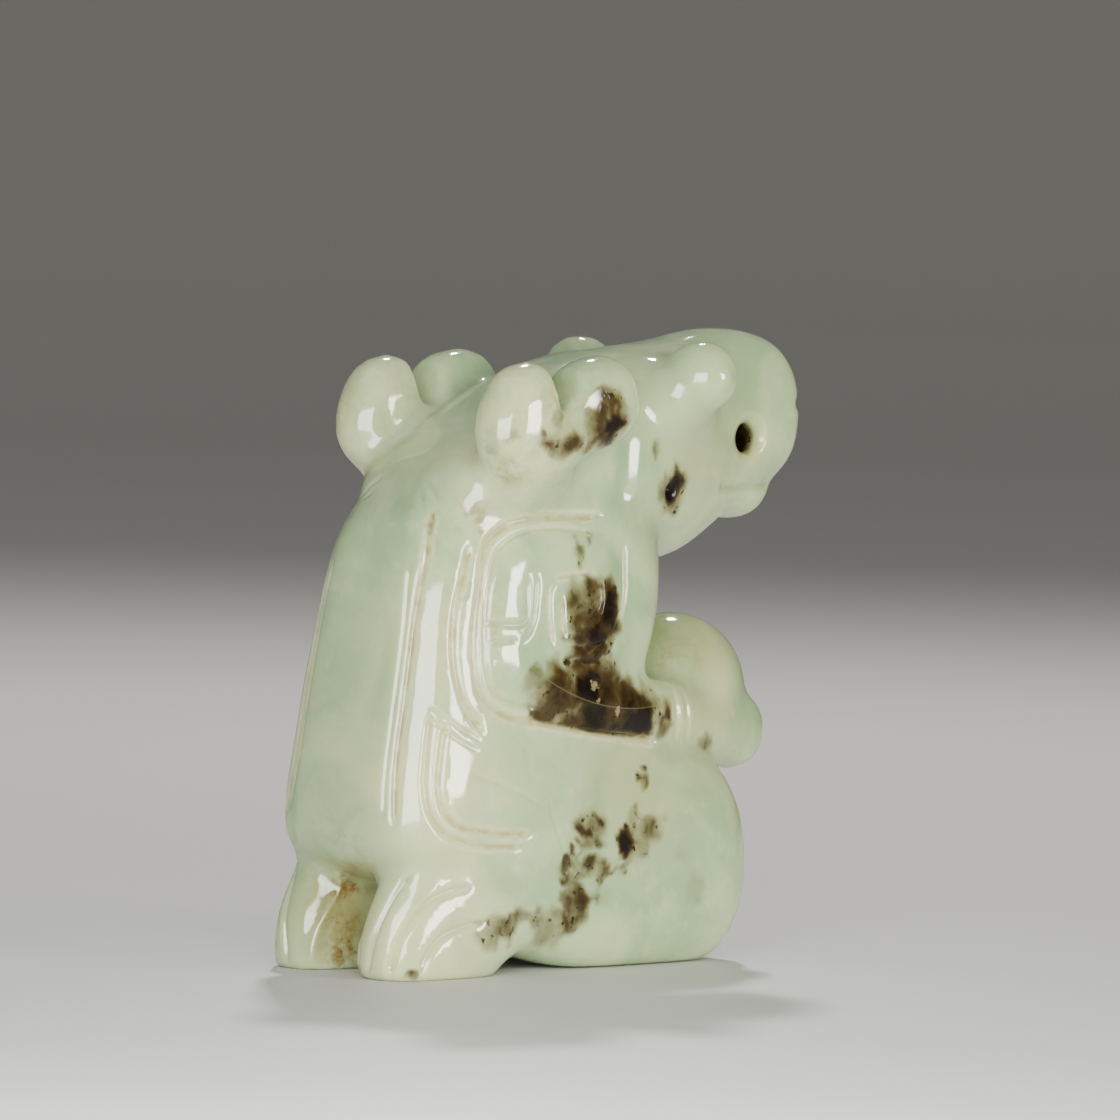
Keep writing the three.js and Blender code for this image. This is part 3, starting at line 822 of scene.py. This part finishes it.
def mark(made):
    """Notes where the dark mineral, the tints, the dust and the scratch lie, with painted shade deep in the
    drilled hole, painted light in some cream clouds and painted shade in some honey clouds.
    """
    points = all_points(made.data)
    forward, side, up = LENGTH / 2 - points[:, 1], points[:, 0], points[:, 2]
    edge = np.array(PATCH_EDGE)
    over_edge = np.clip((up - np.interp(forward, edge[:, 0], edge[:, 1])) / PATCH_FADE, 0, 1)
    noise.seed_set(WANDER_SEED)
    wander = WANDER * np.array([noise.noise_vector(Vector(point) / WANDER_SIZE) for point in points])
    wandered_forward, wandered_up = forward + wander[:, 1], up + wander[:, 2]
    skin = np.where((up > EAR_UP) & (forward < EAR_FRONT), EAR_SKIN, SIDE_SKIN)
    dark = np.zeros(len(points))
    for (at_forward, at_up), (long, high), lean, strength in DARK_MARKS:
        rise, run = math.sin(math.radians(lean)), math.cos(math.radians(lean))
        along = (wandered_forward - at_forward) * run + (wandered_up - at_up) * rise
        across = (wandered_up - at_up) * run - (wandered_forward - at_forward) * rise
        gap = (along / long) ** 2 + (across / high) ** 2
        held = over_edge if at_up > edge[:, 1].min() else 1
        dark = np.maximum(dark, strength * np.exp(-MARK_FALL * gap ** 2) * (side * NEAR > skin) * held)
    # Deep in the drilled hole the stone is painted dark, as shade, through the same marks as the dark mineral
    in_bore = np.hypot(forward - DRILLED[0], up - DRILLED[1]) < BORE_SHADE_ROUND
    dark = np.maximum(dark, in_bore * np.clip((BORE_SHADE_FROM - np.abs(side)) / BORE_SHADE_FADE, 0, 1))
    store(made.data, "dark", dark)
    # The cream clouds hold painted light as well as paler skin, and the honey clouds painted shade as well as
    # iron tint
    for name, marks in (("rust", RUST_MARKS), ("honey", HONEY_AND_SHADE_MARKS), ("cream", CREAM_AND_LIGHT_MARKS)):
        cloud = np.zeros(len(points))
        for centre, size, strength in marks:
            gap = np.linalg.norm(points - np.array(place(*centre)), axis=1) / size
            cloud = np.maximum(cloud, strength * np.exp(-gap ** 2))
        store(made.data, name, cloud)
    dust = [1 - np.hypot(forward - at[0], up - at[1]) / size for at, size in DUSTY]
    store(made.data, "dust", np.maximum.reduce(dust) * (side * NEAR > skin))
    (at_forward, at_up), radius = SCRATCH
    store(made.data, "scratch", np.hypot(forward - at_forward, up - at_up) - radius)


def level_soles(made):
    """Grinds the soles and shins flat on the ground, with a softened edge."""
    points = all_points(made.data)
    up = points[:, 2]
    softened = SOLE_EDGE * np.log1p(np.exp(np.clip(up / SOLE_EDGE, -SOLE_CURVE, SOLE_CURVE)))
    points[:, 2] = np.where(up > SOLE_REACH, up, softened)
    points[:, 2] -= points[:, 2].min()
    made.data.vertices.foreach_set("co", points.ravel())


def linear(hexed):
    """A linear colour from an sRGB hex value."""
    parts = [int(hexed[i:i + 2], 16) / 255 for i in (1, 3, 5)]
    return (*[c / 12.92 if c <= 0.04045 else ((c + 0.055) / 1.055) ** 2.4 for c in parts], 1)


def add(tree, kind, settings=None, out=0, **inputs):
    """Adds a node with its settings, gives its inputs values or nodes' outputs, and returns an output."""
    made = tree.nodes.new(kind)
    for name, value in (settings or {}).items():
        setattr(made, name, value)
    for name, value in inputs.items():
        socket = made.inputs[int(name[1:]) if name[1:].isdigit() else name.replace("_", " ")]
        if isinstance(value, bpy.types.NodeSocket):
            tree.links.new(value, socket)
        else:
            socket.default_value = value
    return made.outputs[out]


# Settings that many of the nodes share
SMOOTH = {"interpolation_type": "SMOOTHSTEP"}
TIMES, PLUS, LESS, LARGER, UNSIGNED, TIMES_PLUS = (
    {"operation": name} for name in ("MULTIPLY", "ADD", "SUBTRACT", "MAXIMUM", "ABSOLUTE", "MULTIPLY_ADD"))


def polished_nephrite():
    """River-pebble nephrite, cut with abrasives and polished by hand. The light goes a few millimetres in and
    comes back soft and green, while the skin gives small sharp highlights. Cloudy, with tan grime in the
    cuts, rusty clouds near the surface, and black-brown mineral in patches on the near side. Cream clouds
    also paint light on the low feet, the near flank and the hole's mouth, honey clouds paint shade over the
    front half, and the inside of the drilled hole is painted dark as shade."""
    material = bpy.data.materials.new("polished_nephrite")
    material.use_nodes = True
    tree = material.node_tree
    skin = tree.nodes["Principled BSDF"]
    where = add(tree, "ShaderNodeTexCoord", out="Object")
    mm = add(tree, "ShaderNodeMapping", Vector=where, Scale=(1 / MM,) * 3)
    upright = add(tree, "ShaderNodeMapping", Vector=where, Scale=[1 / MM / size for size in STREAK])
    grain = {name: add(tree, "ShaderNodeTexNoise", Vector=mm, Scale=1 / size, Detail=detail,
                       Roughness=roughness, Distortion=distortion)
             for name, (size, detail, roughness, distortion) in GRAIN.items()}
    noted = {name: add(tree, "ShaderNodeAttribute", {"attribute_name": name}, out="Fac") for name in NOTED}

    # Clouds in the stone, from green to pale and cream, a centimetre or so across with finer wisps
    pale = add(tree, "ShaderNodeMapRange", SMOOTH, Value=grain["clouds"], **FADE["pale"])
    creamy = add(tree, "ShaderNodeMapRange", SMOOTH, Value=grain["clouds"], **FADE["creamy"])
    wispy = add(tree, "ShaderNodeMapRange", SMOOTH, Value=grain["wisps"], **FADE["wispy"])
    # Cream clouds, partly paler skin and partly painted light, and honey clouds, partly iron tint and partly
    # painted shade
    cream_and_light = add(tree, "ShaderNodeMath", TIMES, i0=noted["cream"], i1=CREAM_AND_LIGHT_SHARE)
    honeyed_and_shaded = add(tree, "ShaderNodeMath", TIMES, i0=noted["honey"], i1=HONEY_AND_SHADE_SHARE)

    # Tan grime that has stayed in the carved lines, thicker in some places than in others
    settled = add(tree, "ShaderNodeMapRange", SMOOTH, Value=grain["patchy"], **FADE["settled"])
    grime = add(tree, "ShaderNodeMath", TIMES, i0=noted["grime"], i1=settled)
    banded = add(tree, "ShaderNodeMapRange", SMOOTH, Value=grime, **FADE["banded"])
    tan = add(tree, "ShaderNodeMapRange", SMOOTH, Value=grime, **FADE["tan"])

    # Iron stain just under the surface, in small broken wisps
    broken = add(tree, "ShaderNodeMath", TIMES_PLUS, i0=grain["fine"], i1=RUST_FINE, i2=grain["wisps"])
    wisp = add(tree, "ShaderNodeMapRange", SMOOTH, Value=broken, **FADE["wisp"])
    rusty = add(tree, "ShaderNodeMath", TIMES, i0=noted["rust"], i1=wisp)

    # Dark mineral, and the painted shade deep in the drilled hole: brown and see-through at its ragged edges,
    # near black inside
    streaks = add(tree, "ShaderNodeTexNoise", Vector=upright, Scale=1, Detail=STREAK_DETAIL)
    finely = add(tree, "ShaderNodeMath", TIMES, i0=grain["fine"], i1=EDGE_FINE)
    mottled = add(tree, "ShaderNodeMath", PLUS, i0=grain["blotches"], i1=finely)
    mottled = add(tree, "ShaderNodeMath", TIMES_PLUS, i0=streaks, i1=EDGE_STREAKS, i2=mottled)
    ragged = add(tree, "ShaderNodeMath", LESS, i0=mottled, i1=EDGE_MIDDLE)
    depth = add(tree, "ShaderNodeMath", PLUS, i0=noted["dark"], i1=ragged)
    present = add(tree, "ShaderNodeMapRange", SMOOTH, Value=noted["dark"], **FADE["present"])
    halo = add(tree, "ShaderNodeMapRange", SMOOTH, Value=noted["dark"], **FADE["halo"])
    brown = add(tree, "ShaderNodeMapRange", SMOOTH, Value=depth, **FADE["brown"])
    black = add(tree, "ShaderNodeMapRange", SMOOTH, Value=depth, **FADE["black"])

    # Black dots strewn through it and round it, a few tenths of a millimetre across: coarser than the real
    # ones, so that they show
    dot = add(tree, "ShaderNodeMapRange", SMOOTH, Value=grain["specks"], **FADE["dot"])
    strewn = add(tree, "ShaderNodeMapRange", SMOOTH, Value=grain["patchy"], **FADE["strewn"])
    among = add(tree, "ShaderNodeMapRange", SMOOTH, Value=noted["dark"], **FADE["among"])
    dotted = add(tree, "ShaderNodeMath", TIMES, i0=dot, i1=among)
    dotted = add(tree, "ShaderNodeMath", TIMES, i0=dotted, i1=strewn)
    brown = add(tree, "ShaderNodeMath", LARGER, i0=brown, i1=dotted)
    brown = add(tree, "ShaderNodeMath", TIMES, i0=present, i1=brown)
    dotted = add(tree, "ShaderNodeMath", TIMES, i0=dotted, i1=DOT_BLACK)
    black = add(tree, "ShaderNodeMath", LARGER, i0=black, i1=dotted)
    black = add(tree, "ShaderNodeMath", TIMES, i0=present, i1=black)

    # Pale dust in the pits of the dark patch, and the scratch across it
    ragged_dust = add(tree, "ShaderNodeMath", TIMES_PLUS, i0=grain["fine"], i1=DUST_FINE, i2=noted["dust"])
    dusty = add(tree, "ShaderNodeMapRange", SMOOTH, Value=ragged_dust, **FADE["dusty"])
    off = add(tree, "ShaderNodeMath", UNSIGNED, i0=noted["scratch"])
    scratch = add(tree, "ShaderNodeMapRange", SMOOTH, Value=off, **FADE["scratch"])
    scratch = add(tree, "ShaderNodeMath", TIMES, i0=scratch, i1=brown)

    colour = linear(CELADON)
    for share, hexed in ((pale, PALE), (creamy, CREAM), (wispy, CREAM), (cream_and_light, CREAM), (honeyed_and_shaded, HONEY),
                         (banded, CREAM), (tan, TAN), (rusty, RUST), (halo, OLIVE), (brown, BROWN),
                         (black, NEAR_BLACK), (dusty, DUST), (scratch, DUST)):
        colour = add(tree, "ShaderNodeMix", {"data_type": "RGBA"}, out=2,
                     i0=share, i6=colour, i7=linear(hexed))
    tree.links.new(colour, skin.inputs["Base Color"])

    # The light soaks into the clear stone but not into the dark mineral, which takes less polish
    soaked = add(tree, "ShaderNodeMapRange", SMOOTH, Value=brown, **FADE["soaked"])
    tree.links.new(soaked, skin.inputs["Subsurface Weight"])
    skin.inputs["Subsurface Radius"].default_value = SOAK
    skin.inputs["Subsurface Scale"].default_value = SOAK_DEPTH * MM
    skin.inputs["IOR"].default_value = NEPHRITE_IOR
    gloss = add(tree, "ShaderNodeMapRange", SMOOTH, Value=brown, **FADE["gloss"])
    tree.links.new(gloss, skin.inputs["Specular IOR Level"])
    rough = add(tree, "ShaderNodeMapRange", SMOOTH, Value=grain["worn"], **FADE["polish"])
    rough = add(tree, "ShaderNodeMath", TIMES_PLUS, i0=grime, i1=GRIME_ROUGH, i2=rough)
    rough = add(tree, "ShaderNodeMath", TIMES_PLUS, i0=black, i1=BLACK_ROUGH, i2=rough)
    tree.links.new(rough, skin.inputs["Roughness"])

    # Flats left by the hand polish, hair scratches drawn coarser than they are, and pits in the dark mineral
    pitted = add(tree, "ShaderNodeMath", TIMES, i0=grain["fine"], i1=black)
    normal = None
    for (strength, deep), height in ((FLATS, grain["hand_polish"]), (HAIRLINES, grain["scratched"]),
                                     (MINERAL_PITS, pitted)):
        under = {"Normal": normal} if normal else {}
        normal = add(tree, "ShaderNodeBump", Strength=strength, Distance=deep * MM, Height=height, **under)
    tree.links.new(normal, skin.inputs["Normal"])
    return material


def jade_figure():
    """The carving, made in the order of its steps: rough out, rub down, cut, carve, stain and paint light and
    shade, and level.
    """
    made = rough_figure()
    fuse(made)
    rub(made, RUBS)
    cut(made, drill)
    for sign in SIDES:
        cut(made, notch, sign)
    ease(made)
    lines = carved_lines(made)
    refine(made, lines)
    carve(made, lines)
    mark(made)
    level_soles(made)
    made.data.transform(Matrix.Scale(MM, 4))
    made.data.shade_smooth()
    made.data.materials.append(polished_nephrite())
    return made


def studio_floor():
    """A pale board that curves up all round, far behind the piece."""
    bowl = bmesh.new()
    profile = [bowl.verts.new((out, 0, up)) for out, up in BOARD]
    edges = [bowl.edges.new(pair) for pair in zip(profile, profile[1:])]
    bmesh.ops.spin(bowl, geom=profile + edges, axis=(0, 0, 1), cent=(0, 0, 0), angle=2 * math.pi,
                   steps=BOARD_STEPS, use_merge=True)
    bmesh.ops.remove_doubles(bowl, verts=bowl.verts, dist=TOUCHING)
    bmesh.ops.recalc_face_normals(bowl, faces=bowl.faces)
    for face in bowl.faces:
        if face.normal.z < 0:
            face.normal_flip()
    made = new_object("floor", bowl)
    made.data.shade_smooth()

    # Board with matt paint, rolled on: an even pale grey that throws back soft light and no glare
    paint = bpy.data.materials.new("matt_painted_board")
    paint.use_nodes = True
    skin = paint.node_tree.nodes["Principled BSDF"]
    skin.inputs["Base Color"].default_value = linear(BOARD_COLOUR)
    skin.inputs["Roughness"].default_value = BOARD_ROUGH
    made.data.materials.append(paint)


def turn_to(way):
    return Vector(way).to_track_quat("-Z", "Y")


def camera():
    """Behind the figure and to its right, a little over 80 cm off, with a long lens."""
    lens = bpy.data.cameras.new("camera")
    lens.sensor_width = 36
    lens.lens_unit = "FOV"
    lens.angle = CAMERA_VIEW
    lens.clip_start = CAMERA_NEAREST
    made = bpy.data.objects.new("camera", lens)
    bpy.context.scene.collection.objects.link(made)
    made.location = CAMERA_AT
    level = math.cos(CAMERA_DOWN)
    way = (math.cos(CAMERA_ACROSS) * level, -math.sin(CAMERA_ACROSS) * level, -math.sin(CAMERA_DOWN))
    made.rotation_mode = "QUATERNION"
    made.rotation_quaternion = turn_to(way) @ Quaternion((0, 0, 1), CAMERA_ROLL)
    bpy.context.scene.camera = made


def soft_light(name, way, distance, size, power, colour):
    """A soft box that hangs off in a direction from the piece and faces it."""
    light = bpy.data.lights.new(name, "AREA")
    light.shape = "RECTANGLE"
    light.size, light.size_y = size
    light.energy = power
    light.color = linear(colour)[:3]
    made = bpy.data.objects.new(name, light)
    bpy.context.scene.collection.objects.link(made)
    way = Vector(way).normalized()
    made.location = Vector(LIT_MIDDLE) + way * distance
    made.rotation_mode = "QUATERNION"
    made.rotation_quaternion = turn_to(-way)
    made.visible_camera = False


def studio():
    for light in LIGHTS:
        soft_light(*light)
    world = bpy.data.worlds.new("studio")
    world.use_nodes = True
    room = world.node_tree.nodes["Background"]
    room.inputs["Color"].default_value = linear(ROOM_COLOUR)
    room.inputs["Strength"].default_value = ROOM_STRENGTH
    bpy.context.scene.world = world


figure = jade_figure()
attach(figure, "root")
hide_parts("figure")
studio_floor()
camera()
studio()
